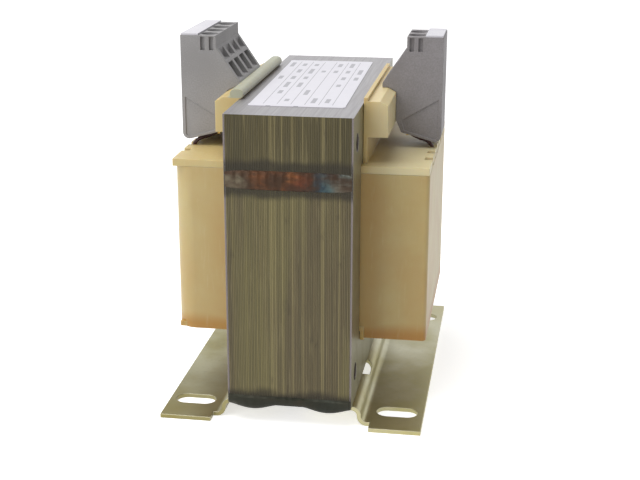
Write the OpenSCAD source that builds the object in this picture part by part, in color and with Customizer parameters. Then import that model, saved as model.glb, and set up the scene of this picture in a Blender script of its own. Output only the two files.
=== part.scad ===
// Laminated chassis transformer: a welded EI core on two joggled sheet brackets,
// a moulded coil former with two windings under an insulating wrap, and two
// rows of screw clamps hooked over the former's rails.
// X runs through the stack of sheets, Y along the core and Z up from the floor.

/* [Core] */
// Thickness of one core sheet
sheet_t = 0.5; // [0.35:0.05:0.65]
// Number of sheets in the stack
sheet_count = 74; // [50:1:100]
// Width of the centre leg
centre_leg_w = 35; // [28:0.5:45]
// Width of each outer leg
outer_leg_w = 17.5; // [14:0.5:24]
// Width of each window
window_w = 17.5; // [14:0.5:24]
// Height of each window
window_h = 52.5; // [44:0.5:75]
// Height of the lower yoke of the E sheets
yoke_h = 17.5; // [14:0.5:24]
// Height of the I sheets
i_sheet_h = 17.5; // [14:0.5:24]
// Diameter of the holes in the core's corners
core_hole_d = 5.5; // [4:0.1:8]
// Depth of the groove between two sheet edges
groove_depth = 0.12; // [0.04:0.01:0.2]
// Width of the groove between two sheet edges
groove_w = 0.14; // [0.05:0.01:0.2]

/* [Brackets] */
// Thickness of the bracket sheet
foot_t = 1.25; // [0.8:0.05:2]
// Height of the core's underside above the floor
foot_rise = 6; // [5:0.1:12]
// Radius inside each bend
foot_bend_r = 1.75; // [0.8:0.05:2.5]
// Length of each foot
foot_l = 108; // [100:1:130]
// Length of each flange under the core
flange_l = 100; // [84:1:104]
// Gap between the two flanges under the core
flange_gap = 8.4; // [4:0.2:14]
// Distance from the core's side in to the upper bend
bend_inset = 0.3; // [0:0.1:1]
// Width over both feet
feet_w = 78.5; // [74:0.5:92]
// Distance from the lower bend to the step in the foot's ends
foot_step = 0.85; // [0.4:0.05:2]
// Length of each foot slot
foot_slot_l = 12.4; // [8:0.1:13]
// Width of each foot slot
foot_slot_w = 6.6; // [4:0.1:8]
// Distance from the foot's outer edge to the slot's centre
foot_slot_edge = 8.05; // [7.5:0.05:9]
// Distance from the foot's end to the slot's centre
foot_slot_end = 12.5; // [8:0.5:20]
// Length of each flange slot
flange_slot_l = 12.5; // [6:0.5:16]
// Width of each flange slot
flange_slot_w = 6.6; // [4:0.1:8]
// Distance from the core's side in to the flange slot's centre
flange_slot_inset = 1.3; // [0.5:0.1:4]
// Distance between the flange slots along the core
flange_slot_pitch = 38; // [28:1:60]

/* [Welds] */
// Height of the seam bead where the E and I sheets meet
seam_h = 5.6; // [3:0.2:9]
// Bulge of the seam bead off the core
seam_bulge = 0.9; // [0.4:0.1:2]
// Distance of the seam bead's middle below the joint
seam_drop = 1.2; // [0:0.1:2]
// Height of the foot weld up the core's face
foot_weld_rise = 2.4; // [1:0.1:4]
// Bulge of the foot weld off the core's face
foot_weld_bulge = 0.8; // [0.4:0.1:2]
// Sag of the foot weld below the core at each flange
foot_weld_sag = 2.3; // [1.4:0.1:3]
// Sag of the foot weld between the flanges and at its ends
foot_weld_edge = 0.6; // [0.3:0.1:1.2]
// Distance from the core's side in to the end of each weld
weld_inset = 0.3; // [0:0.1:1]

/* [Coil former] */
// Clearance between the former and the core
core_clear = 0.1; // [0.05:0.05:0.4]
// Wall of the former's tube and sides
former_wall = 1.2; // [0.8:0.1:2]
// Thickness of the lower flange
lower_flange_t = 1.5; // [1:0.1:2.5]
// Thickness of the upper flange
upper_flange_t = 2.2; // [1.4:0.1:3]
// Clearance of the flanges to the window's floor and to the I sheets
flange_clear = 0.3; // [0.1:0.1:1]
// Distance from the wrap's face in to the upper flange's side edge
flange_inset = 0.1; // [0:0.05:0.5]
// Distance the outer flanges hang below the window's floor
flange_hang = 1.6; // [0.5:0.1:4]
// Height of the lip under the wrap's side
lip_h = 0.8; // [0.4:0.1:2]
// Length of the lip's missing front end
lip_front = 12; // [4:1:20]
// Length of the former's rails and side walls
rail_l = 62; // [50:1:66]
// Width of each rail beside the side wall
rail_w = 5.95; // [4.5:0.05:8]
// Height of each rail
rail_h = 10.6; // [6:0.1:13]
// Wall of each rail
rail_wall = 1.2; // [0.8:0.1:2]
// Rise of the rail's top above the core
rail_top_rise = 0.6; // [0.2:0.1:2]
// Drop of the rail's bevelled outer edge
rail_bevel = 1.3; // [0.4:0.1:2.4]
// Width of the hooked bead along the left side
bead_w = 4.1; // [3:0.1:6]
// Height of the hooked bead
bead_h = 3; // [2:0.1:4]
// Distance the bead hooks over the core
bead_over = 1.3; // [0.5:0.1:2.5]
// Rise of the right side's rim above the core
rim_rise = 1.6; // [0.8:0.1:3]
// Number of wire gaps along each side of the upper flange
wire_gaps = 6; // [4:2:6]
// Spacing of the wire gaps
wire_gap_pitch = 8.6; // [7:0.1:10]
// Width of each wire gap
wire_gap_w = 3.2; // [2:0.1:5]
// Depth of each wire gap
wire_gap_depth = 2.4; // [1.6:0.1:4]

/* [Windings] */
// Thickness of the primary winding beside the core
primary_side = 9; // [5:0.1:12]
// Thickness of the primary winding in the windows
primary_window = 6.9; // [3:0.1:8]
// Thickness of the insulation between the windings
insulation_t = 0.5; // [0.2:0.1:1]
// Overhang of the coil outside the core's side
coil_overhang = 20.1; // [17:0.1:24]
// Thickness of the outer wrap
wrap_t = 0.8; // [0.3:0.1:1.5]
// Clearance between the wrap and the outer legs
wrap_clear = 1; // [0.3:0.1:2]
// Radius of the wrap's left corners
wrap_left_r = 6; // [2:0.5:9]
// Radius of the wrap's right corners
wrap_right_r = 1.4; // [1:0.1:6]
// Clearance between coil layers
layer_clear = 0.05; // [0.02:0.01:0.2]

/* [Terminal blocks] */
// Number of poles in the left block
left_poles = 4; // [2:1:5]
// Number of poles in the right block
right_poles = 2; // [1:1:5]
// Spacing of the poles
pole_pitch = 7.5; // [6.8:0.1:9]
// Extra length at each end of a block
end_extra = 0.75; // [0.4:0.05:2]
// Clearance between a block and the former's rail
seat_clear = 0.1; // [0.05:0.05:0.3]
// Width of a block outside the rail
block_w = 14.05; // [13:0.05:17]
// Height of a block above the rail
block_rise = 15.6; // [14:0.1:19]
// Drop of a block's outer corner below the rail's top
block_drop = 16.6; // [15:0.1:18]
// Rise of a block's bottom towards the core
bottom_rise = 2.8; // [1:0.1:5]
// Radius of a block's lower outer edge
corner_r = 2; // [0.5:0.1:3]
// Width of the bevel at a block's lower inner edge
toe_w = 1.65; // [0.5:0.05:3]
// Height of the bevel at a block's lower inner edge
toe_h = 3.8; // [2:0.1:6]
// Reach of a block's nose over the rail
nose_w = 4.35; // [3.5:0.05:5]
// Height of the nose's tip
nose_t = 1.4; // [0.8:0.1:2]
// Distance from the rail out to the head's inner face
head_set = 2.95; // [2.4:0.05:3.4]
// Height of the head's inner face
head_h = 3.5; // [2.5:0.1:5]
// Width of each wire pocket
pocket_w = 5.4; // [4.4:0.1:6]
// Thickness of the rib between two rows of pockets
row_rib = 0.95; // [0.6:0.05:1.6]
// Thickness of the wall over the upper row of pockets
top_wall = 0.3; // [0.2:0.05:1]
// Height of the upper row of pockets
upper_pocket_h = 3.7; // [2.5:0.1:4.5]
// Height of the lower row of pockets
lower_pocket_h = 5.1; // [4:0.1:6]
// Diameter of each screw well
well_d = 5.5; // [4.8:0.1:6]
// Distance from the rail out to the screws
screw_set = 5.75; // [5.5:0.05:6.5]
// Diameter of each clamp screw's head
screw_head_d = 5; // [4:0.1:5.4]
// Height of each clamp screw's head
screw_head_h = 2; // [1.2:0.1:3]
// Diameter of each clamp screw's shank
screw_d = 3.5; // [2.5:0.1:4]
// Depth of the screw heads below the block's top
screw_sink = 0.7; // [0.2:0.1:2]
// Width of the driver slot
driver_slot_w = 0.8; // [0.5:0.1:1.2]
// Depth of the driver slot
driver_slot_depth = 0.9; // [0.4:0.1:1.4]
// Length of each clamp body
body_l = 5.6; // [4.5:0.1:6]
// Width of each clamp body
body_w = 4.9; // [4:0.1:5.2]
// Height of each clamp body
body_h = 9; // [7:0.1:9.6]
// Wall of each clamp body
body_wall = 1; // [0.7:0.1:1.3]
// Clearance around the clamp bodies
body_clear = 0.15; // [0.05:0.05:0.3]
// Depth of the clamp bodies' top below the block's top
body_depth = 6; // [5:0.1:7]
// Thickness of each contact bar
bar_t = 0.8; // [0.5:0.1:1.2]
// Width of each contact bar
bar_w = 2.6; // [1.5:0.1:4]
// Length of a contact bar's tail below the block
bar_tail = 1.2; // [0.6:0.1:1.6]
// Width and height of the recess in each end of a block
end_recess = 4.1; // [3:0.1:5]
// Depth of the recesses in each end of a block
end_recess_depth = 0.9; // [0.3:0.1:1.2]
// Width of the post in each end recess
end_post_w = 1.3; // [0.6:0.1:2]
// Depth of the set-back panel on each end of a block
panel_depth = 0.3; // [0.1:0.1:0.6]
// Width of the marker strips
marker_w = 5.3; // [4:0.1:5.6]
// Thickness of the marker strips
marker_t = 0.5; // [0.3:0.1:1]
// Distance from a block's outer face in to the marker strip
marker_inset = 0.2; // [0:0.1:1]

/* [Leads and label] */
// Diameter of the winding leads
lead_d = 1.2; // [0.6:0.1:1.4]
// Length of the label
label_l = 81; // [50:1:90]
// Width of the label
label_w = 28.4; // [20:0.2:32]
// Thickness of the label
label_t = 0.12; // [0.05:0.01:0.3]
// Radius of the label's corners
label_r = 1.2; // [0.5:0.1:3]
// Turn of the label on the core, in degrees
label_turn = 1; // [-2:0.1:2]

/* [Hidden] */
$fn = 64;
eps = 0.01;
through = 400;

stack_w = sheet_t * sheet_count;
stack_x = stack_w / 2;
core_l = centre_leg_w + 2 * window_w + 2 * outer_leg_w;
core_y = core_l / 2;
leg_y = centre_leg_w / 2;
core_z = foot_rise;
window_z0 = core_z + yoke_h;
window_z1 = window_z0 + window_h;
core_top = window_z1 + i_sheet_h;
hole_y = core_y - outer_leg_w / 2;

bend_r = min(foot_bend_r, foot_rise / 2 - foot_t);
bend_out = bend_r + foot_t;
bend_x0 = stack_x - bend_inset;
bend_x1 = bend_x0 + bend_r + bend_out;
foot_x = feet_w / 2;
foot_slot_x = foot_x - foot_slot_edge;
foot_slot_y = foot_l / 2 - foot_slot_end;

tube_x = stack_x + core_clear;
tube_y = leg_y + core_clear;
wall_x = tube_x + former_wall;
wall_y = tube_y + former_wall;
coil_x = stack_x + coil_overhang;
coil_y = leg_y + window_w - wrap_clear;
hang_z0 = window_z0 - flange_hang;
wrap_z0 = hang_z0 - 0.1;
low_flange_z0 = window_z0 + flange_clear;
low_flange_z1 = low_flange_z0 + lower_flange_t;
up_flange_z1 = window_z1 - flange_clear - 0.2;
up_flange_z0 = up_flange_z1 - upper_flange_t;
coil_z0 = low_flange_z1 + layer_clear;
coil_z1 = up_flange_z0 - layer_clear;
rail_x = wall_x + rail_w;
rail_z1 = core_top + rail_top_rise;
rail_z0 = rail_z1 - rail_h;

seat_x = rail_x + seat_clear;
seat_z = rail_z1 + seat_clear;
block_x1 = seat_x + block_w;
block_z1 = seat_z + block_rise;
block_z0 = seat_z - block_drop;
screw_x = seat_x + screw_set;
slant = (block_rise - head_h - nose_t) / (head_set + nose_w);
bottom_a = atan(bottom_rise / (block_w - toe_w - corner_r));
under_x = block_x1 - corner_r * (1 + sin(bottom_a));
under_z = block_z0 + corner_r * (1 - cos(bottom_a));
corner_steps = 8;
body_z1 = block_z1 - body_depth;
body_z0 = body_z1 - body_h;
bar_x0 = screw_x - body_l / 2;
bar_z0 = under(bar_x0) - bar_tail;
pocket_z2 = block_z1 - head_h - top_wall;
pocket_z1 = pocket_z2 - upper_pocket_h;
pocket_z0 = pocket_z1 - row_rib;
marker_x1 = block_x1 - marker_inset;

// ---- places and shapes that several pieces share ----

// Height of a block's sloping underside at a distance x from the middle
function under(x) = under_z + (under_x - x) * tan(bottom_a);

// Distance of the slanted face from the middle at a height
function face_x(z) = seat_x - nose_w + (z - seat_z - nose_t) / slant;

// Places of the poles along a block
function poles(n) = [for (i = [0:n - 1]) (i - (n - 1) / 2) * pole_pitch];

// Length of a block
function block_l(n) = n * pole_pitch + 2 * end_extra;

// Place of the wire gap nearest to pole i of n
function gap_y(i, n) = (i - (n - 1) / 2) * wire_gap_pitch;

// Puts its children on the right (1) or mirrored on the left (-1)
module on_side(side) {
    if (side > 0) children();
    else mirror([1, 0, 0]) children();
}

// A box given by its two corners
module box(low, high) {
    translate(low) cube(high - low);
}

// An outline in X and Z drawn out along Y to a length, centred
module along_y(length) {
    rotate([90, 0, 0]) linear_extrude(height = length, center = true) children();
}

// A rectangle with its left and its right corners rounded
module coil_outline(x, y, left_r, right_r) {
    polygon([
        [-x + left_r, -y], [x - right_r, -y], [x, -y + right_r], [x, y - right_r],
        [x - right_r, y], [-x + left_r, y], [-x, y - left_r], [-x, -y + left_r]
    ]);
    for (s = [-1, 1]) {
        translate([-x + left_r, s * (y - left_r)]) circle(r = left_r);
        translate([x - right_r, s * (y - right_r)]) circle(r = right_r);
    }
}

// One layer of the coil, set in by `inset` from the wrap's face and `side`, `window` thick
module coil_layer(x0, y0, x1, y1, z0, z1) {
    inset = coil_x - x1;
    hole = coil_x - x0;
    translate([0, 0, z0]) linear_extrude(height = z1 - z0) difference() {
        coil_outline(x1, y1, max(wrap_left_r - inset, 0.6), max(wrap_right_r - inset, 0.6));
        coil_outline(x0, y0, max(wrap_left_r - hole, 0.5), max(wrap_right_r - hole, 0.5));
    }
}

// A slot through the sheet, its length along X
module slot(length, width, height) {
    straight = length - width;
    for (s = [-1, 1]) translate([s * straight / 2, 0, 0]) cylinder(d = width, h = height);
    translate([-straight / 2, -width / 2, 0]) cube([straight, width, height]);
}

// A closed skin through a row of equal rings
module loft(rings) {
    n = len(rings[0]);
    last = len(rings) - 1;
    polyhedron(
        points = [for (ring = rings) each ring],
        faces = concat(
            [[for (k = [0:n - 1]) k]],
            [[for (k = [n - 1:-1:0]) last * n + k]],
            [for (i = [0:last - 1], k = [0:n - 1]) each [
                [i * n + k, (i + 1) * n + k, i * n + (k + 1) % n],
                [i * n + (k + 1) % n, (i + 1) * n + k, (i + 1) * n + (k + 1) % n]
            ]]
        )
    );
}

// ---- core ----

// Outline of the stack from above, with a groove between each two sheet edges
module stack_outline() {
    row = [for (i = [0:sheet_count - 1]) each [
        [-stack_x + i * sheet_t + (i == 0 ? 0 : groove_w / 2), core_y],
        [-stack_x + (i + 1) * sheet_t - (i == sheet_count - 1 ? 0 : groove_w / 2), core_y],
        if (i < sheet_count - 1) [-stack_x + (i + 1) * sheet_t, core_y - groove_depth]
    ]];
    back = [for (k = [len(row) - 1:-1:0]) [row[k][0], -row[k][1]]];
    polygon(concat(row, back));
}

// The pair of holes through the stack at a height
module corner_holes(z) {
    for (s = [-1, 1]) translate([-stack_x - 1, s * hole_y, z])
        rotate([0, 90, 0]) cylinder(d = core_hole_d, h = stack_w + 2);
}

module e_laminations() {
    color("#786e4b") difference() {
        translate([0, 0, core_z]) linear_extrude(height = yoke_h + window_h) stack_outline();
        for (s = [-1, 1]) box(
            [-stack_x - 1, s > 0 ? leg_y : -leg_y - window_w, window_z0],
            [stack_x + 1, s > 0 ? leg_y + window_w : -leg_y, window_z1 + 1]
        );
        corner_holes(core_z + yoke_h / 2);
    }
}

module i_laminations() {
    color("#5f5837") difference() {
        translate([0, 0, window_z1]) linear_extrude(height = i_sheet_h) stack_outline();
        corner_holes(core_top - i_sheet_h / 2);
    }
}

// ---- welds ----

// Half width of a weld, and its evenly spaced stations along the stack
weld_x = stack_x - weld_inset;
function stations(n) = [for (i = [0:n]) -weld_x + 2 * weld_x * i / n];

// Rippled bead across the sheet edges, fading to its two ends
function seam_swell(x) = let (u = abs(x) / weld_x) pow(max(1 - pow(u, 6), 0), 0.5);
function seam_ring(x) = let (
    swell = max(seam_swell(x), 0.25),
    ripple = 1 + 0.1 * sin(360 * x / 2.4),
    half = seam_h / 2 * (0.7 + 0.3 * swell),
    out = seam_bulge * swell * ripple
) [for (k = [0:8]) [x, -core_y - out * sin(180 * k / 8), window_z1 - seam_drop - half * cos(180 * k / 8)]];

module front_seam_weld() {
    color("#5b4a42") loft([for (x = stations(46)) seam_ring(x)]);
}

module rear_seam_weld() {
    color("#5b4a42") rotate([0, 0, 180]) loft([for (x = stations(46)) seam_ring(x)]);
}

// Sag of the foot weld: deepest under the middle of each flange
lobe_x = (flange_gap / 2 + bend_x0) / 2;
function foot_sag(x) = foot_weld_edge
    + (foot_weld_sag - foot_weld_edge) * pow(max(cos(90 * (abs(x) - lobe_x) / (weld_x - lobe_x)), 0), 1.2);
flange_y = flange_l / 2;
function foot_ring(x) = let (
    sag = foot_sag(x),
    back = min(sag, foot_t) * 0.8,
    depth = core_y - flange_y
) concat(
    [[x, -core_y, core_z], [x, -flange_y, core_z], [x, -flange_y, core_z - back]],
    [for (k = [1:9]) let (a = 10 * k * 0.9 + 4)
        [x, -flange_y - (depth + foot_weld_bulge) * sin(a),
            core_z - sag * cos(a) + foot_weld_rise * pow(sin(a), 6)]],
    [[x, -core_y, core_z + foot_weld_rise + 0.3]]
);

module front_foot_weld() {
    color("#4a4c44") loft([for (x = stations(36)) foot_ring(x)]);
}

module rear_foot_weld() {
    color("#4a4c44") rotate([0, 0, 180]) loft([for (x = stations(36)) foot_ring(x)]);
}

// ---- brackets ----

// A quarter of a bend around [0, 0], in the quadrant given by two signs
module quarter_bend(sx, sz) {
    intersection() {
        difference() {
            circle(r = bend_out);
            circle(r = bend_r);
        }
        translate([sx > 0 ? 0 : -bend_out, sz > 0 ? 0 : -bend_out]) square(bend_out);
    }
}

// Flange, two bends and the web between them, seen along the bracket
module joggle_outline() {
    z_top = foot_rise - bend_out;
    translate([flange_gap / 2, foot_rise - foot_t]) square([bend_x0 - flange_gap / 2, foot_t]);
    translate([bend_x0, z_top]) quarter_bend(1, 1);
    translate([bend_x0 + bend_r, bend_out]) square([foot_t, max(z_top - bend_out, eps)]);
    translate([bend_x1, bend_out]) quarter_bend(-1, -1);
    translate([bend_x1, 0]) square([foot_step, foot_t]);
}

module foot_bracket() {
    difference() {
        union() {
            along_y(flange_l) joggle_outline();
            box([bend_x1 + foot_step - eps, -foot_l / 2, 0], [foot_x, foot_l / 2, foot_t]);
        }
        for (s = [-1, 1]) {
            translate([foot_slot_x, s * foot_slot_y, -1])
                slot(foot_slot_l, foot_slot_w, foot_t + 2);
            translate([stack_x - flange_slot_inset, s * flange_slot_pitch / 2, foot_rise / 2])
                rotate([0, 0, 90]) slot(flange_slot_l, flange_slot_w, foot_rise);
        }
    }
}

module left_foot_bracket() {
    color("#8d8a5c") on_side(-1) foot_bracket();
}

module right_foot_bracket() {
    color("#8d8a5c") on_side(1) foot_bracket();
}

// ---- coil former ----

// Tube round the centre leg, with the two flanges that lie in the windows
module former_tube() {
    difference() {
        union() {
            box([-wall_x, -wall_y, low_flange_z0], [wall_x, wall_y, up_flange_z1]);
            box([-wall_x, -coil_y, low_flange_z0], [wall_x, coil_y, low_flange_z1]);
            box([-coil_x + flange_inset, -coil_y, up_flange_z0],
                [coil_x - flange_inset, coil_y, up_flange_z1]);
        }
        box([-tube_x, -tube_y, low_flange_z0 - 1], [tube_x, tube_y, up_flange_z1 + 1]);
        for (side = [-1, 1], i = [0:wire_gaps - 1])
            translate([side * (coil_x - flange_inset), gap_y(i, wire_gaps), up_flange_z0 - 1])
                translate([-wire_gap_depth, -wire_gap_w / 2, 0])
                    cube([2 * wire_gap_depth, wire_gap_w, upper_flange_t + 2]);
    }
}

// Flange outside the core's side, its lip below the wrap and the skirt beside the yoke
module hanging_flange() {
    inner_x = coil_x - wrap_t - layer_clear;
    inner_y = coil_y - wrap_t - layer_clear;
    box([tube_x, -inner_y, hang_z0], [inner_x, inner_y, hang_z0 + lower_flange_t]);
    box([tube_x, -coil_y, hang_z0 - lip_h], [wall_x, coil_y, low_flange_z1]);
    box([inner_x - former_wall, -coil_y + lip_front, wrap_z0 - lip_h],
        [coil_x - flange_inset, coil_y, wrap_z0 - layer_clear]);
    box([inner_x - former_wall, -coil_y + lip_front, wrap_z0 - lip_h],
        [inner_x, inner_y, hang_z0 + lower_flange_t]);
}

// Side wall beside the I sheets and the ribbed rail that carries a terminal block
module side_rail(top) {
    rail_y = rail_l / 2;
    box([tube_x, -rail_y, up_flange_z0], [wall_x, rail_y, top]);
    difference() {
        along_y(rail_l) polygon([
            [wall_x - eps, rail_z0], [rail_x, rail_z0], [rail_x, rail_z1 - rail_bevel],
            [rail_x - 2 * rail_bevel + 0.2, rail_z1], [wall_x - eps, rail_z1]
        ]);
        for (i = [0:wire_gaps]) translate([0, (i - wire_gaps / 2) * wire_gap_pitch, 0])
            box([wall_x, -wire_gap_pitch / 2 + rail_wall / 2, rail_z0 - 1],
                [rail_x - rail_wall, wire_gap_pitch / 2 - rail_wall / 2, rail_z1 - rail_bevel - rail_wall]);
    }
}

// Rounded bead that hooks over the edge of the I sheets
module hooked_bead() {
    r = bead_h / 2;
    x0 = stack_x - bead_over;
    translate([0, 0, core_top + r]) along_y(rail_l) {
        translate([x0 + r, 0]) circle(r = r);
        translate([x0 + bead_w - r, 0]) circle(r = r);
        translate([x0 + r, -r]) square([bead_w - bead_h, bead_h]);
    }
}

module coil_former() {
    color("#e3cf8a") {
        former_tube();
        for (side = [-1, 1]) on_side(side) hanging_flange();
        on_side(1) side_rail(core_top + rim_rise);
        on_side(-1) side_rail(rail_z1);
        on_side(-1) hooked_bead();
    }
}

// ---- windings ----

in_x = wall_x + layer_clear;
in_y = wall_y + layer_clear;
pri_x = in_x + primary_side;
pri_y = in_y + primary_window;
ins_x = pri_x + layer_clear + insulation_t;
ins_y = pri_y + layer_clear + insulation_t;
sec_x = coil_x - wrap_t - layer_clear;
sec_y = coil_y - wrap_t - layer_clear;

module primary_winding() {
    color("#b0703a") coil_layer(in_x, in_y, pri_x, pri_y, coil_z0, coil_z1);
}

module winding_insulation() {
    color("#e6d7a2") coil_layer(pri_x + layer_clear, pri_y + layer_clear, ins_x, ins_y, coil_z0, coil_z1);
}

module secondary_winding() {
    color("#b0703a") coil_layer(ins_x + layer_clear, ins_y + layer_clear, sec_x, sec_y, coil_z0, coil_z1);
}

module outer_wrap() {
    color("#ddb767") difference() {
        coil_layer(coil_x - wrap_t, coil_y - wrap_t, coil_x, coil_y, wrap_z0, up_flange_z0 - layer_clear);
        box([-wall_x - layer_clear, -coil_y - 1, wrap_z0 - 1],
            [wall_x + layer_clear, coil_y + 1, low_flange_z1 + layer_clear]);
    }
}

// ---- terminal blocks ----

// Outline of a terminal housing, seen along the row of poles
module housing_outline() {
    polygon([
        [seat_x + head_set, block_z1], [block_x1, block_z1],
        for (i = [0:corner_steps]) let (a = i / corner_steps * (90 + bottom_a))
            [block_x1 - corner_r * (1 - cos(a)), block_z0 + corner_r * (1 - sin(a))],
        [seat_x + toe_w, under(seat_x + toe_w)],
        [seat_x, under(seat_x + toe_w) + toe_h], [seat_x, seat_z - rail_bevel],
        [seat_x - 2 * rail_bevel + 0.2, seat_z], [seat_x - nose_w, seat_z],
        [seat_x - nose_w, seat_z + nose_t], [seat_x + head_set, block_z1 - head_h]
    ]);
}

// Openings of one pole: two wire pockets, the clamp's chamber, the screw's well
// and the slot for the contact bar
module pole_cuts() {
    back_x = screw_x - well_d / 2 - 0.5;
    chamber = body_l / 2 + body_clear;
    along_y(pocket_w) polygon([
        [face_x(pocket_z1) - 3, pocket_z1], [back_x, pocket_z1],
        [back_x, pocket_z2], [face_x(pocket_z2) - 3, pocket_z2]
    ]);
    along_y(pocket_w) polygon([
        [face_x(pocket_z0 - lower_pocket_h) - 3, pocket_z0 - lower_pocket_h],
        [screw_x, pocket_z0 - lower_pocket_h], [screw_x, pocket_z0],
        [face_x(pocket_z0) - 3, pocket_z0]
    ]);
    box([screw_x - chamber, -body_w / 2 - body_clear, body_z0 - bar_t],
        [screw_x + chamber, body_w / 2 + body_clear, body_z1 + body_clear]);
    translate([screw_x, 0, body_z1]) cylinder(d = well_d, h = through);
    box([bar_x0 - body_clear, -bar_w / 2 - body_clear, block_z0 - 1],
        [bar_x0 + bar_t + body_clear, bar_w / 2 + body_clear, body_z0]);
}

// Recess with its middle post, and the set-back panel, on one end of a block
module end_cuts() {
    recess_x = screw_x - end_recess / 2;
    recess_z = block_z1 - end_recess - 0.4;
    for (s = [0, 1]) translate([recess_x + s * (end_recess + end_post_w) / 2, -end_recess_depth, recess_z])
        cube([(end_recess - end_post_w) / 2, 2 * end_recess_depth, end_recess]);
    rotate([90, 0, 0]) linear_extrude(height = 2 * panel_depth, center = true) polygon([
        [seat_x + toe_w, under(seat_x + toe_w) + toe_h], [block_x1 - 1, seat_z - 3.4],
        [block_x1 - 1, block_z0 + 1.4], [block_x1 - corner_r, block_z0 + 0.6],
        [seat_x + toe_w + 0.9, under(seat_x + toe_w + 0.9) + 0.8]
    ]);
}

module terminal_housing(n) {
    end_y = block_l(n) / 2;
    difference() {
        along_y(2 * end_y) housing_outline();
        for (y = poles(n)) translate([0, y, 0]) pole_cuts();
        for (s = [-1, 1]) translate([0, s * end_y, 0]) end_cuts();
    }
}

module left_terminal_housing() {
    color("#8f8b89") on_side(-1) terminal_housing(left_poles);
}

module right_terminal_housing() {
    color("#736e6c") on_side(1) terminal_housing(right_poles);
}

// Square clamp body with its wire tunnel and the screw's hole
module clamp_body() {
    difference() {
        box([screw_x - body_l / 2, -body_w / 2, body_z0], [screw_x + body_l / 2, body_w / 2, body_z1]);
        box([screw_x - body_l, -body_w / 2 + body_wall, body_z0 + body_wall],
            [screw_x + body_l, body_w / 2 - body_wall, body_z1 - 1.6 * body_wall]);
        translate([screw_x, 0, body_z1 - 2 * body_wall]) cylinder(d = screw_d + 0.1, h = 3 * body_wall);
    }
}

// Slotted clamp screw, its tip just inside the wire tunnel
module clamp_screw() {
    top = block_z1 - screw_sink;
    translate([screw_x, 0, 0]) difference() {
        union() {
            translate([0, 0, top - screw_head_h]) cylinder(d = screw_head_d, h = screw_head_h);
            translate([0, 0, body_z1 - 3 * body_wall])
                cylinder(d = screw_d, h = top - screw_head_h - body_z1 + 3 * body_wall + eps);
        }
        rotate([0, 0, 35]) translate([-screw_head_d, -driver_slot_w / 2, top - driver_slot_depth])
            cube([2 * screw_head_d, driver_slot_w, 2 * driver_slot_depth]);
    }
}

// Bar under the clamp body, turned down into a solder tail
module contact_bar() {
    box([bar_x0, -bar_w / 2, body_z0 - bar_t], [screw_x + body_l / 2, bar_w / 2, body_z0]);
    box([bar_x0, -bar_w / 2, bar_z0], [bar_x0 + bar_t, bar_w / 2, body_z0]);
}

module left_clamp_bodies() {
    color("#b9b4a0") on_side(-1) for (y = poles(left_poles)) translate([0, y, 0]) clamp_body();
}

module right_clamp_bodies() {
    color("#b9b4a0") on_side(1) for (y = poles(right_poles)) translate([0, y, 0]) clamp_body();
}

module left_clamp_screws() {
    color("#8f9094") on_side(-1) for (y = poles(left_poles)) translate([0, y, 0]) clamp_screw();
}

module right_clamp_screws() {
    color("#8f9094") on_side(1) for (y = poles(right_poles)) translate([0, y, 0]) clamp_screw();
}

module left_contact_bars() {
    color("#c7a25a") on_side(-1) for (y = poles(left_poles)) translate([0, y, 0]) contact_bar();
}

module right_contact_bars() {
    color("#c7a25a") on_side(1) for (y = poles(right_poles)) translate([0, y, 0]) contact_bar();
}

// Strip clipped along the outer half of a block's top
module marker_strip(n) {
    end_y = block_l(n) / 2;
    box([marker_x1 - marker_w, -end_y + 0.2, block_z1], [marker_x1, end_y - 0.2, block_z1 + marker_t]);
}

module left_marker_strip() {
    color("#f2f2f2") on_side(-1) marker_strip(left_poles);
}

module right_marker_strip() {
    color("#f2f2f2") on_side(1) marker_strip(right_poles);
}

// ---- leads and label ----

// A point on a smooth curve through p1 and p2, led by their neighbours
function curve(p0, p1, p2, p3, t) = 0.5 * (2 * p1 + t * (p2 - p0)
    + t * t * (2 * p0 - 5 * p1 + 4 * p2 - p3) + t * t * t * (3 * p1 - p0 - 3 * p2 + p3));
function smooth(p, steps) = [
    for (i = [0:len(p) - 2], k = [0:steps - 1])
        curve(p[max(i - 1, 0)], p[i], p[i + 1], p[min(i + 2, len(p) - 1)], k / steps),
    p[len(p) - 1]
];

// Ring of eight points round a place on a path, square to the path
function unit(v) = v / norm(v);
function lead_ring(at, way, r) = let (
    side = unit(cross(way, [0.3, 1, 0.2])),
    up = unit(cross(side, way))
) [for (k = [0:7]) at + r * (cos(45 * k) * side + sin(45 * k) * up)];

// Lead from a contact bar's tail, under the block and down a wire gap to the coil
module winding_lead(y, slot_y) {
    r = lead_d / 2;
    start_x = bar_x0 + bar_t;
    gap_x = coil_x - flange_inset - wire_gap_depth + r + 0.3;
    path = smooth([
        [start_x, y, bar_z0 + r + 0.05],
        [start_x + 3, y * 0.7 + slot_y * 0.3, under(start_x + 3) - r - 0.4],
        [gap_x - 1.6, slot_y, under(gap_x - 1.6) - r - 0.5],
        [gap_x, slot_y, up_flange_z1 - 0.2],
        [gap_x, slot_y, coil_z1 + layer_clear]
    ], 4);
    last = len(path) - 1;
    loft([for (i = [0:last]) lead_ring(
        path[i], i == last ? [0, 0, -1] : i == 0 ? [1, 0, 0] : unit(path[min(i + 1, last)] - path[max(i - 1, 0)]), r
    )]);
}

module winding_leads(n) {
    for (i = [0:n - 1]) winding_lead(poles(n)[i], gap_y(i, n));
}

module left_winding_leads() {
    color("#3c1a17") on_side(-1) winding_leads(left_poles);
}

module right_winding_leads() {
    color("#3c1a17") on_side(1) winding_leads(right_poles);
}

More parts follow.
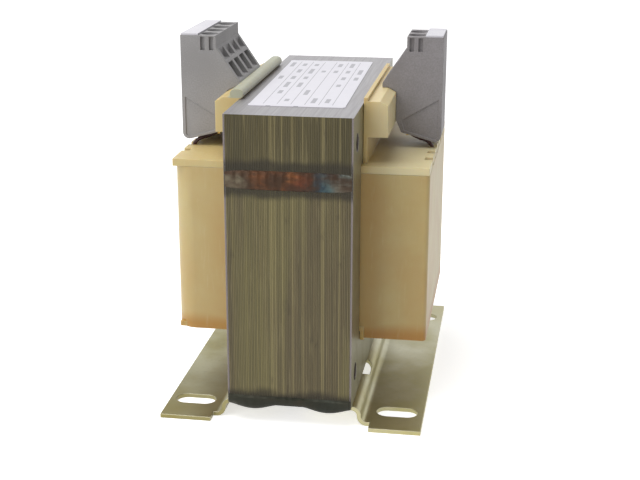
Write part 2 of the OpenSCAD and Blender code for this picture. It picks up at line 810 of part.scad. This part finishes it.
module blank_label() {
    x = label_w / 2 - label_r;
    y = label_l / 2 - label_r;
    color("#f4f4f6") translate([-0.7, 1.2, core_top]) rotate([0, 0, label_turn])
        linear_extrude(height = label_t) {
            square([label_w, 2 * y], center = true);
            square([2 * x, label_l], center = true);
            for (sx = [-1, 1], sy = [-1, 1]) translate([sx * x, sy * y]) circle(r = label_r);
        }
}

e_laminations();
i_laminations();
front_seam_weld();
rear_seam_weld();
front_foot_weld();
rear_foot_weld();
left_foot_bracket();
right_foot_bracket();
coil_former();
primary_winding();
winding_insulation();
secondary_winding();
outer_wrap();
left_terminal_housing();
right_terminal_housing();
left_clamp_bodies();
right_clamp_bodies();
left_clamp_screws();
right_clamp_screws();
left_contact_bars();
right_contact_bars();
left_marker_strip();
right_marker_strip();
left_winding_leads();
right_winding_leads();
blank_label();
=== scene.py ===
import math
import bmesh
import bpy
from mathutils import Matrix, Vector


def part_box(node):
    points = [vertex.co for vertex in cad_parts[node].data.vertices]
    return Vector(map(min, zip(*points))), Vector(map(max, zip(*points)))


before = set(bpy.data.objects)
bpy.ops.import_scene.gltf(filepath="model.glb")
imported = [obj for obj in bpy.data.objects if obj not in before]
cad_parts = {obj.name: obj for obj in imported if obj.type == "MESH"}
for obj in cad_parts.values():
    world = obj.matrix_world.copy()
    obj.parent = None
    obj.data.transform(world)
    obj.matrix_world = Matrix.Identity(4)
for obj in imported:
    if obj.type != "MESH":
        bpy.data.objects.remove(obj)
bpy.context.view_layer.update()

MM = 0.001


# ---- node helpers: one call makes a node and fills its sockets ----

def node(tree, kind, inputs=None, **settings):
    made = tree.nodes.new("ShaderNode" + kind)
    for key, value in settings.items():
        setattr(made, key, value)
    for key, value in (inputs or {}).items():
        if isinstance(value, bpy.types.NodeSocket):
            tree.links.new(value, made.inputs[key])
        else:
            made.inputs[key].default_value = value
    return made


def maths(tree, operation, *values, clamp=False):
    made = node(tree, "Math", dict(enumerate(values)), operation=operation)
    made.use_clamp = clamp
    return made.outputs[0]


def blend(tree, mask, colour_a, colour_b, kind="MIX"):
    made = tree.nodes.new("ShaderNodeMix")
    made.data_type = "RGBA"
    made.blend_type = kind
    for key, value in ((0, mask), (6, colour_a), (7, colour_b)):
        if isinstance(value, bpy.types.NodeSocket):
            tree.links.new(value, made.inputs[key])
        else:
            made.inputs[key].default_value = value
    return made.outputs[2]


def span(tree, value, low, high, out_low=0.0, out_high=1.0):
    made = node(tree, "MapRange", {0: value, 1: low, 2: high, 3: out_low, 4: out_high},
                interpolation_type="SMOOTHSTEP")
    return made.outputs[0]


def band(tree, value, low, high, soft):
    rise = span(tree, value, low - soft, low + soft)
    fall = span(tree, value, high - soft, high + soft, 1.0, 0.0)
    return maths(tree, "MULTIPLY", rise, fall)


def srgb(red, green, blue):
    def linear(v):
        v /= 255
        return v / 12.92 if v <= 0.04045 else ((v + 0.055) / 1.055) ** 2.4
    return (linear(red), linear(green), linear(blue), 1.0)


def place(tree):
    return node(tree, "TexCoord").outputs["Object"]


def axes(tree, vector):
    return node(tree, "SeparateXYZ", {0: vector}).outputs


def noise(tree, vector, scale, detail=3.0, roughness=0.5, stretch=(1, 1, 1)):
    mapped = node(tree, "Mapping", {"Vector": vector, "Scale": stretch}).outputs[0]
    made = node(tree, "TexNoise", {"Vector": mapped, "Scale": scale, "Detail": detail, "Roughness": roughness})
    return made.outputs[0]


def new_group(name, inputs, outputs):
    group = bpy.data.node_groups.new(name, "ShaderNodeTree")
    for label, kind, value in inputs:
        made = group.interface.new_socket(label, in_out="INPUT", socket_type="NodeSocket" + kind)
        if value is not None:
            made.default_value = value
    for label, kind in outputs:
        group.interface.new_socket(label, in_out="OUTPUT", socket_type="NodeSocket" + kind)
    return group, group.nodes.new("NodeGroupInput").outputs, group.nodes.new("NodeGroupOutput").inputs


def use_group(tree, group, inputs=None):
    made = tree.nodes.new("ShaderNodeGroup")
    made.node_tree = group
    for key, value in (inputs or {}).items():
        if isinstance(value, bpy.types.NodeSocket):
            tree.links.new(value, made.inputs[key])
        else:
            made.inputs[key].default_value = value
    return made.outputs


# ---- effects that several finishes share ----

def make_soft_edge():
    """A rounded normal along sharp edges, and a mask of those edges."""
    tree, given, made = new_group(
        "soft_edge", [("Radius", "Float", 0.0002)], [("Edge", "Float"), ("Normal", "Vector")])
    rounded = node(tree, "Bevel", {"Radius": given["Radius"]}, samples=6).outputs[0]
    flat = node(tree, "NewGeometry").outputs["Normal"]
    facing = node(tree, "VectorMath", {0: rounded, 1: flat}, operation="DOT_PRODUCT").outputs["Value"]
    tree.links.new(span(tree, facing, 0.995, 0.8), made["Edge"])
    tree.links.new(rounded, made["Normal"])
    return tree


def make_mottle():
    """Slow cloudiness and fine grain in one value around 0.5."""
    tree, given, made = new_group(
        "mottle", [("Cloud", "Float", 60.0), ("Grain", "Float", 3000.0), ("Share", "Float", 0.4)],
        [("Value", "Float")])
    at = place(tree)
    cloud = node(tree, "TexNoise", {"Vector": at, "Scale": given["Cloud"], "Detail": 4.0}).outputs[0]
    grain = node(tree, "TexNoise", {"Vector": at, "Scale": given["Grain"], "Detail": 2.0}).outputs[0]
    mixed = node(tree, "Mix", {0: given["Share"], 2: cloud, 3: grain}).outputs[0]
    tree.links.new(mixed, made["Value"])
    return tree


SOFT_EDGE = make_soft_edge()
MOTTLE = make_mottle()


def new_material(name):
    made = bpy.data.materials.new(name)
    made.use_nodes = True
    tree = made.node_tree
    shader = tree.nodes["Principled BSDF"]
    return made, tree, shader


def finish_surface(tree, shader, inputs):
    for key, value in inputs.items():
        if isinstance(value, bpy.types.NodeSocket):
            tree.links.new(value, shader.inputs[key])
        else:
            shader.inputs[key].default_value = value


def bump(tree, height, distance, strength=1.0, normal=None):
    made = node(tree, "Bump", {"Height": height, "Distance": distance, "Strength": strength})
    if normal is not None:
        tree.links.new(normal, made.inputs["Normal"])
    return made.outputs[0]


# ---- sizes read from the frame ----

CORE_LOW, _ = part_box("e_laminations")
_, CORE_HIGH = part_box("i_laminations")
JOINT_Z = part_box("i_laminations")[0].z
WRAP_LOW, WRAP_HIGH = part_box("outer_wrap")
SHEET = 0.5 * MM


# ---- core ----

def core_steel(name, olive, brown):
    """Edges of the varnished sheets, and the plain face of the outer sheet."""
    made, tree, shader = new_material(name)
    at = place(tree)
    x, y, z = axes(tree, at)
    steps = maths(tree, "DIVIDE", maths(tree, "SUBTRACT", x, CORE_LOW.x), SHEET)
    index = maths(tree, "FLOOR", steps)
    within = maths(tree, "FRACT", steps)
    shade = node(tree, "TexWhiteNoise", {"W": index}, noise_dimensions="1D").outputs[0]
    other = node(tree, "TexWhiteNoise", {"W": maths(tree, "ADD", index, 31.7)}, noise_dimensions="1D").outputs[0]
    groups = noise(tree, at, 110.0, 2.0, stretch=(1, 0.1, 0.1))
    streaks = noise(tree, at, 1400.0, 3.0, 0.6, stretch=(1.3, 0.04, 0.04))
    scuffs = noise(tree, at, 420.0, 4.0, 0.6, stretch=(1, 0.3, 0.3))
    colour = blend(tree, span(tree, groups, 0.4, 0.62), olive, brown)
    colour = blend(tree, span(tree, shade, 0.0, 1.0, 0.0, 0.4), colour, srgb(64, 59, 40))
    colour = blend(tree, span(tree, other, 0.72, 0.95, 0.0, 0.4), colour, srgb(136, 125, 85))
    colour = blend(tree, span(tree, streaks, 0.52, 0.72, 0.0, 0.45), colour, srgb(133, 123, 88))
    colour = blend(tree, span(tree, scuffs, 0.6, 0.8, 0.0, 0.5), colour, srgb(60, 52, 36))
    gap = maths(tree, "MULTIPLY", span(tree, within, 0.12, 0.0), 0.6)
    colour = blend(tree, gap, colour, srgb(35, 30, 19))
    # outer two sheets and the plain side faces are bare grey steel
    side = maths(tree, "ABSOLUTE", x)
    outer = span(tree, side, CORE_HIGH.x - 1.05 * SHEET, CORE_HIGH.x - 0.85 * SHEET)
    normal = node(tree, "NewGeometry").outputs["Normal"]
    nx, ny, nz = axes(tree, normal)
    plain = span(tree, maths(tree, "ABSOLUTE", nx), 0.93, 0.99)
    top = span(tree, maths(tree, "ABSOLUTE", nz), 0.8, 0.95)
    steel = blend(tree, noise(tree, at, 90.0, 5.0), srgb(105, 100, 77), srgb(124, 120, 94))
    lines = noise(tree, at, 900.0, 3.0, 0.5, stretch=(0.05, 1, 0.05))
    steel = blend(tree, span(tree, lines, 0.45, 0.75, 0.0, 0.25), steel, srgb(82, 78, 56))
    # upward faces: the varnished sheet edges' grey tone, with painted sheen from the overhead light that makes it
    # light and even in place of the sheet lines
    top_tone_and_sheen = blend(tree, span(tree, shade, 0.2, 1.0, 0.0, 0.3), srgb(147, 144, 147), srgb(132, 130, 133))
    colour = blend(tree, maths(tree, "MULTIPLY", outer, 0.85), colour, srgb(115, 106, 107))
    colour = blend(tree, plain, colour, steel)
    colour = blend(tree, top, colour, top_tone_and_sheen)
    # brown heat tint beside the welds, broken up by soft noise
    ragged = maths(tree, "MULTIPLY", maths(tree, "SUBTRACT", noise(tree, at, 130.0, 3.0), 0.5), 0.004)
    height = maths(tree, "ADD", z, ragged)
    seam = band(tree, height, JOINT_Z - 0.0062, JOINT_Z + 0.0042, 0.0012)
    foot = band(tree, height, CORE_LOW.z - 0.001, CORE_LOW.z + 0.0042, 0.0014)
    heat = maths(tree, "MULTIPLY", maths(tree, "MAXIMUM", seam, foot), maths(tree, "SUBTRACT", 1.0, top))
    front = span(tree, maths(tree, "ABSOLUTE", ny), 0.3, 0.7)
    heat = maths(tree, "MULTIPLY", heat, maths(tree, "MULTIPLY", front, 0.88))
    colour = blend(tree, heat, colour, srgb(36, 31, 18))
    edge, rounded = use_group(tree, SOFT_EDGE, {"Radius": 0.00012})
    # painted highlight along the sharp edges of the outer sheets
    colour = blend(tree, maths(tree, "MULTIPLY", edge, maths(tree, "MULTIPLY", outer, 0.6)), colour, srgb(215, 212, 220))
    rough = span(tree, streaks, 0.3, 0.8, 0.34, 0.55)
    finish_surface(tree, shader, {
        "Base Color": colour, "Metallic": 0.55, "Roughness": rough, "Coat Weight": 0.25, "Coat Roughness": 0.22,
        "Normal": bump(tree, streaks, 0.00004, 0.5, rounded),
    })
    return made


def weld_metal(name, body, tint_strength):
    """Rippled bead: grey oxide with straw, brown and blue temper colours along it."""
    made, tree, shader = new_material(name)
    at = place(tree)
    x, y, z = axes(tree, at)
    wander = maths(tree, "MULTIPLY", maths(tree, "SUBTRACT", noise(tree, at, 160.0, 4.0), 0.5), 0.018)
    along = maths(tree, "ADD", x, wander)
    ramp = node(tree, "ValToRGB", {0: span(tree, along, -0.019, 0.019)})
    stops = ((0.0, (126, 120, 100)), (0.1, (66, 54, 40)), (0.25, (112, 66, 34)), (0.4, (74, 44, 26)),
             (0.52, (140, 84, 42)), (0.64, (96, 50, 30)), (0.74, (52, 40, 30)), (0.84, (40, 62, 72)),
             (0.91, (76, 98, 98)), (1.0, (120, 112, 96)))
    for index, (spot, colour) in enumerate(stops):
        stop = ramp.color_ramp.elements[index] if index < 2 else ramp.color_ramp.elements.new(spot)
        stop.position = spot
        stop.color = srgb(*colour)
    patch = span(tree, noise(tree, at, 240.0, 3.0, 0.5, stretch=(0.35, 1, 1)), 0.36, 0.66)
    colour = blend(tree, maths(tree, "MULTIPLY", patch, tint_strength), body, ramp.outputs[0])
    crust = noise(tree, at, 1100.0, 4.0, 0.65)
    colour = blend(tree, span(tree, crust, 0.55, 0.8, 0.0, 0.6), colour, srgb(40, 36, 32))
    ripple = node(tree, "TexWave", {"Vector": at, "Scale": 130.0, "Distortion": 3.0, "Detail": 2.0},
                  wave_type="BANDS", bands_direction="X").outputs[1]
    height = maths(tree, "ADD", ripple, crust)
    finish_surface(tree, shader, {
        "Base Color": colour, "Metallic": 0.55, "Roughness": span(tree, crust, 0.3, 0.7, 0.3, 0.55),
        "Specular IOR Level": 0.35, "Normal": bump(tree, height, 0.00012, 0.7),
    })
    return made


def passivated_zinc():
    """Plated sheet with uneven yellow passivation, and a painted highlight along its edges."""
    made, tree, shader = new_material("passivated_zinc")
    at = place(tree)
    x, y, z = axes(tree, at)
    cloud = noise(tree, at, 34.0, 4.0, 0.55)
    spangle = noise(tree, at, 700.0, 3.0, 0.6)
    drawn = noise(tree, at, 520.0, 3.0, 0.5, stretch=(1, 0.05, 1))
    colour = blend(tree, span(tree, cloud, 0.36, 0.64), srgb(176, 172, 140), srgb(150, 142, 92))
    colour = blend(tree, span(tree, spangle, 0.5, 0.8, 0.0, 0.35), colour, srgb(122, 126, 104))
    end = span(tree, maths(tree, "ABSOLUTE", y), 0.028, 0.05)
    colour = blend(tree, maths(tree, "MULTIPLY", end, 0.55), colour, srgb(140, 128, 60))
    # painted shade on the front half of the left bracket, and painted light that lightens the whole right bracket
    # through the gamma below
    right = span(tree, x, -0.01, 0.01)
    left_front_shade = maths(tree, "MULTIPLY", maths(tree, "SUBTRACT", 1.0, right), span(tree, y, 0.0, -0.03, 0.0, 0.45))
    colour = blend(tree, left_front_shade, colour, srgb(112, 104, 70))
    colour = node(tree, "Gamma", {"Color": colour, "Gamma": span(tree, right, 0.0, 1.0, 1.0, 0.7)}).outputs[0]
    edge, rounded = use_group(tree, SOFT_EDGE, {"Radius": 0.00028})
    # painted highlight along the sharp edges and bends
    colour = blend(tree, maths(tree, "MULTIPLY", edge, 0.7), colour, srgb(204, 202, 186))
    finish_surface(tree, shader, {
        "Base Color": colour, "Metallic": 0.85, "Roughness": span(tree, cloud, 0.3, 0.7, 0.3, 0.42),
        "Normal": bump(tree, maths(tree, "ADD", drawn, spangle), 0.00003, 0.35, rounded),
    })
    return made


# ---- coil ----

def cream_plastic(name, pale, amber, soft, right_side_light_gamma):
    """Moulded or folded cream sheet: light passes through it and warms it in its depths; amber shade is also painted
    beside the core and along the lower edge.
    """
    made, tree, shader = new_material(name)
    at = place(tree)
    x, y, z = axes(tree, at)
    cloud = noise(tree, at, 48.0, 4.0, 0.55)
    fibre = noise(tree, at, 900.0, 3.0, 0.6, stretch=(1, 1, 0.12))
    # painted warm shade: amber towards the core and along the lower edge of the coil
    core_side_shade = span(tree, maths(tree, "ABSOLUTE", x), 0.019, 0.030, 0.5, 0.0)
    low = span(tree, z, WRAP_LOW.z + 0.0060, WRAP_LOW.z + 0.0012, 0.0, 1.0)
    warm_shade = maths(tree, "MAXIMUM", core_side_shade, low)
    colour = blend(tree, span(tree, cloud, 0.3, 0.7, 0.0, 0.35), pale, amber)
    colour = blend(tree, warm_shade, colour, amber)
    colour = blend(tree, span(tree, fibre, 0.55, 0.8, 0.0, 0.2), colour, srgb(206, 196, 160))
    # the bead over the core is clearer and greener than the rest
    beaded = maths(tree, "MULTIPLY", span(tree, z, CORE_HIGH.z + 0.0001, CORE_HIGH.z + 0.0006),
                   span(tree, x, -0.0215, -0.0225, 1.0, 0.0))
    beaded = maths(tree, "MULTIPLY", beaded, span(tree, x, 0.0, -0.005))
    colour = blend(tree, beaded, colour, srgb(170, 170, 148))
    # painted light and shade on the right side: it is made a shade lighter, and browner up in the flange's pockets
    right = span(tree, x, 0.016, 0.024)
    colour = node(tree, "Gamma", {"Color": colour, "Gamma": span(tree, right, 0.0, 1.0, 1.0, right_side_light_gamma)}).outputs[0]
    edge, rounded = use_group(tree, SOFT_EDGE, {"Radius": 0.0003})
    # painted highlight along the sharp edges
    colour = blend(tree, maths(tree, "MULTIPLY", edge, 0.35), colour, srgb(226, 212, 166))
    finish_surface(tree, shader, {
        "Base Color": colour, "Roughness": span(tree, fibre, 0.3, 0.7, 0.36, 0.46),
        "Subsurface Weight": soft, "Subsurface Radius": (1.0, 0.62, 0.25), "Subsurface Scale": 0.0016,
        "Normal": bump(tree, fibre, 0.00003, 0.4, rounded),
    })
    return made


def enamelled_wire():
    """Turns of enamelled copper wire."""
    made, tree, shader = new_material("enamelled_wire")
    at = place(tree)
    turns = node(tree, "TexWave", {"Vector": at, "Scale": 300.0, "Distortion": 0.4},
                 wave_type="BANDS", bands_direction="Z").outputs[1]
    # painted shade between the turns and a painted highlight along each turn
    colour = blend(tree, turns, srgb(92, 42, 18), srgb(196, 116, 58))
    finish_surface(tree, shader, {
        "Base Color": colour, "Metallic": 0.8, "Roughness": span(tree, turns, 0.0, 1.0, 0.45, 0.25),
        "Normal": bump(tree, turns, 0.0002, 0.8),
    })
    return made


# ---- terminal blocks ----

def moulded_grey(name, light, dark):
    """Matte moulded plastic: fine spark grain and faint flow marks."""
    made, tree, shader = new_material(name)
    mottle = use_group(tree, MOTTLE, {"Cloud": 55.0, "Grain": 2600.0, "Share": 0.45})[0]
    colour = blend(tree, span(tree, mottle, 0.36, 0.64), light, dark)
    edge, rounded = use_group(tree, SOFT_EDGE, {"Radius": 0.00022})
    # painted highlight along the sharp edges
    colour = blend(tree, maths(tree, "MULTIPLY", edge, 0.3), colour, srgb(196, 193, 192))
    finish_surface(tree, shader, {
        "Base Color": colour, "Roughness": span(tree, mottle, 0.3, 0.7, 0.5, 0.62),
        "Normal": bump(tree, mottle, 0.00003, 0.5, rounded),
    })
    return made


def plated_metal(name, bright, dull):
    """Tumbled and plated small parts."""
    made, tree, shader = new_material(name)
    mottle = use_group(tree, MOTTLE, {"Cloud": 260.0, "Grain": 2400.0, "Share": 0.35})[0]
    edge, rounded = use_group(tree, SOFT_EDGE, {"Radius": 0.00015})
    colour = blend(tree, span(tree, mottle, 0.4, 0.6), bright, dull)
    # painted highlight along the sharp edges
    colour = blend(tree, maths(tree, "MULTIPLY", edge, 0.5), colour, srgb(232, 230, 224))
    finish_surface(tree, shader, {
        "Base Color": colour, "Metallic": 0.95, "Roughness": span(tree, mottle, 0.3, 0.7, 0.24, 0.4),
        "Normal": bump(tree, mottle, 0.00003, 0.4, rounded),
    })
    return made


def white_marker():
    made, tree, shader = new_material("white_marker")
    mottle = use_group(tree, MOTTLE, {"Cloud": 80.0, "Grain": 2200.0, "Share": 0.5})[0]
    edge, rounded = use_group(tree, SOFT_EDGE, {"Radius": 0.00015})
    colour = blend(tree, span(tree, mottle, 0.3, 0.7), srgb(215, 213, 218), srgb(202, 200, 207))
    finish_surface(tree, shader, {
        "Base Color": colour, "Roughness": span(tree, mottle, 0.3, 0.7, 0.36, 0.48), "Normal": rounded,
    })
    return made


def lead_sleeve():
    made, tree, shader = new_material("lead_sleeve")
    mottle = use_group(tree, MOTTLE, {"Cloud": 300.0, "Grain": 3000.0, "Share": 0.4})[0]
    colour = blend(tree, span(tree, mottle, 0.35, 0.65), srgb(70, 26, 24), srgb(38, 16, 16))
    finish_surface(tree, shader, {
        "Base Color": colour, "Roughness": span(tree, mottle, 0.3, 0.7, 0.3, 0.45),
        "Normal": bump(tree, mottle, 0.00003, 0.5),
    })
    return made


def ruled_label():
    """White film with ruled rows and short grey bars, and no lettering."""
    made, tree, shader = new_material("ruled_label")
    low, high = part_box("blank_label")
    middle = (low + high) / 2
    at = place(tree)
    turned = node(tree, "Mapping", {"Vector": at, "Location": (-middle.x, -middle.y, 0),
                                    "Rotation": (0, 0, math.radians(-1.0))}, vector_type="POINT").outputs[0]
    across, along, _ = axes(tree, turned)
    paper = blend(tree, noise(tree, at, 200.0, 3.0), srgb(217, 215, 222), srgb(210, 208, 217))
    row = 0.00405
    rows = maths(tree, "DIVIDE", maths(tree, "ADD", across, 0.0142), row)
    row_index = maths(tree, "FLOOR", rows)
    row_at = maths(tree, "FRACT", rows)
    rule = span(tree, row_at, 0.055, 0.03)
    # short bars: a cell along the row is inked or not, and grows or shrinks by chance
    cells = maths(tree, "DIVIDE", along, 0.0125)
    cell_index = maths(tree, "FLOOR", cells)
    cell_at = maths(tree, "FRACT", cells)
    seed = maths(tree, "ADD", maths(tree, "MULTIPLY", row_index, 7.0), cell_index)
    chance = node(tree, "TexWhiteNoise", {"W": seed}, noise_dimensions="1D").outputs[0]
    length = maths(tree, "MULTIPLY", chance, 0.75)
    inked = maths(tree, "LESS_THAN", maths(tree, "ABSOLUTE", maths(tree, "SUBTRACT", cell_at, 0.5)),
                  maths(tree, "MULTIPLY", length, 0.5))
    inked = maths(tree, "MULTIPLY", inked, maths(tree, "GREATER_THAN", chance, 0.35))
    bar = maths(tree, "MULTIPLY", inked, maths(tree, "LESS_THAN",
                maths(tree, "ABSOLUTE", maths(tree, "SUBTRACT", row_at, 0.5)), 0.17))
    rule_far = maths(tree, "LESS_THAN", maths(tree, "ABSOLUTE", along), 0.0375)
    colour = blend(tree, maths(tree, "MULTIPLY", maths(tree, "MULTIPLY", rule, rule_far), 0.75), paper, srgb(60, 60, 66))
    colour = blend(tree, maths(tree, "MULTIPLY", bar, 0.6), colour, srgb(96, 96, 104))
    finish_surface(tree, shader, {"Base Color": colour, "Roughness": 0.4, "Coat Weight": 0.2, "Coat Roughness": 0.3})
    return made


# ---- finishes onto the CAD pieces ----

FINISHES = {
    "e_laminations": core_steel("core_edges", srgb(104, 96, 60), srgb(90, 80, 54)),
    "i_laminations": core_steel("core_edges_top", srgb(79, 71, 41), srgb(69, 62, 34)),
    "weld": weld_metal("seam_weld", srgb(57, 39, 25), 0.85),
    "foot_weld": weld_metal("foot_weld", srgb(38, 39, 29), 0.08),
    "zinc": passivated_zinc(),
    "former": cream_plastic("former_moulding", srgb(210, 194, 141), srgb(187, 152, 83), 0.25, 0.72),
    "wrap": cream_plastic("wrap_sheet", srgb(195, 178, 126), srgb(177, 132, 59), 0.3, 1.12),
    "wire": enamelled_wire(),
    "grey": moulded_grey("moulded_grey", srgb(151, 149, 150), srgb(138, 136, 136)),
    # darker copy for the right housing: painted shade for the side the light reaches less
    "grey_shaded": moulded_grey("moulded_grey_shaded", srgb(140, 136, 138), srgb(126, 122, 123)),
    "clamp": plated_metal("clamp_plate", srgb(206, 204, 196), srgb(176, 172, 160)),
    "screw": plated_metal("screw_plate", srgb(186, 186, 190), srgb(150, 150, 154)),
    "contact": plated_metal("contact_plate", srgb(214, 190, 128), srgb(180, 150, 90)),
    "marker": white_marker(),
    "sleeve": lead_sleeve(),
    "label": ruled_label(),
}
WEARS = {
    "e_laminations": "e_laminations", "i_laminations": "i_laminations",
    "front_seam_weld": "weld", "rear_seam_weld": "weld",
    "front_foot_weld": "foot_weld", "rear_foot_weld": "foot_weld",
    "left_foot_bracket": "zinc", "right_foot_bracket": "zinc",
    "coil_former": "former", "primary_winding": "wire", "winding_insulation": "wrap",
    "secondary_winding": "wire", "outer_wrap": "wrap",
    "left_terminal_housing": "grey", "right_terminal_housing": "grey_shaded",
    "left_clamp_bodies": "clamp", "right_clamp_bodies": "clamp",
    "left_clamp_screws": "screw", "right_clamp_screws": "screw",
    "left_contact_bars": "contact", "right_contact_bars": "contact",
    "left_marker_strip": "marker", "right_marker_strip": "marker",
    "left_winding_leads": "sleeve", "right_winding_leads": "sleeve",
    "blank_label": "label",
}


def dress_nodes():
    for name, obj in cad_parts.items():
        obj.data.materials.clear()
        obj.data.materials.append(FINISHES[WEARS[name]])


# ---- stage ----

def white_floor():
    made, tree, shader = new_material("white_floor")
    path = node(tree, "LightPath").outputs
    seen = maths(tree, "MAXIMUM", path["Is Camera Ray"], path["Is Glossy Ray"])
    seen = maths(tree, "MAXIMUM", seen, path["Is Transmission Ray"])
    finish_surface(tree, shader, {"Base Color": (0.9, 0.9, 0.9, 1.0), "Roughness": 0.9,
                                  "Emission Color": (1.0, 1.0, 1.0, 1.0)})
    tree.links.new(maths(tree, "MULTIPLY", seen, 0.62), shader.inputs["Emission Strength"])
    return made


def build_floor():
    mesh = bpy.data.meshes.new("floor")
    shape = bmesh.new()
    bmesh.ops.create_grid(shape, x_segments=1, y_segments=1, size=6.0)
    shape.to_mesh(mesh)
    shape.free()
    floor = bpy.data.objects.new("floor", mesh)
    bpy.context.scene.collection.objects.link(floor)
    floor.data.materials.append(white_floor())


def light_world():
    world = bpy.data.worlds.new("studio")
    bpy.context.scene.world = world
    world.use_nodes = True
    tree = world.node_tree
    back = tree.nodes["Background"]
    back.inputs["Color"].default_value = (1.0, 1.0, 1.0, 1.0)
    path = node(tree, "LightPath").outputs
    seen = maths(tree, "MAXIMUM", path["Is Camera Ray"], path["Is Glossy Ray"])
    seen = maths(tree, "MAXIMUM", seen, path["Is Transmission Ray"])
    tree.links.new(span(tree, seen, 0.0, 1.0, 0.34, 1.0), back.inputs["Strength"])


def area_light(name, spot, target, size, watts):
    lamp = bpy.data.lights.new(name, "AREA")
    lamp.shape = "SQUARE"
    lamp.size = size
    lamp.energy = watts
    made = bpy.data.objects.new(name, lamp)
    made.location = spot
    made.rotation_euler = (Vector(target) - Vector(spot)).to_track_quat("-Z", "Y").to_euler()
    bpy.context.scene.collection.objects.link(made)


def build_camera():
    yaw, pitch, roll = (math.radians(a) for a in (8.923, 17.253, 0.118))
    lens = bpy.data.cameras.new("camera")
    lens.sensor_width = 36.0
    lens.lens = 71.96
    made = bpy.data.objects.new("camera", lens)
    turn = Matrix.Rotation(yaw, 4, "Z") @ Matrix.Rotation(math.pi / 2 - pitch, 4, "X") @ Matrix.Rotation(roll, 4, "Z")
    made.matrix_world = Matrix.Translation((0.062966, -0.39511, 0.165785)) @ turn
    bpy.context.scene.collection.objects.link(made)
    bpy.context.scene.camera = made


build_camera()
dress_nodes()
build_floor()
light_world()
area_light("overhead", (-0.25, -0.1, 0.75), (0, 0, 0.05), 0.7, 5.3)
area_light("front_fill", (-0.5, -0.75, 0.35), (0, 0, 0.05), 0.6, 2.3)
bpy.context.scene.view_settings.view_transform = "Standard"
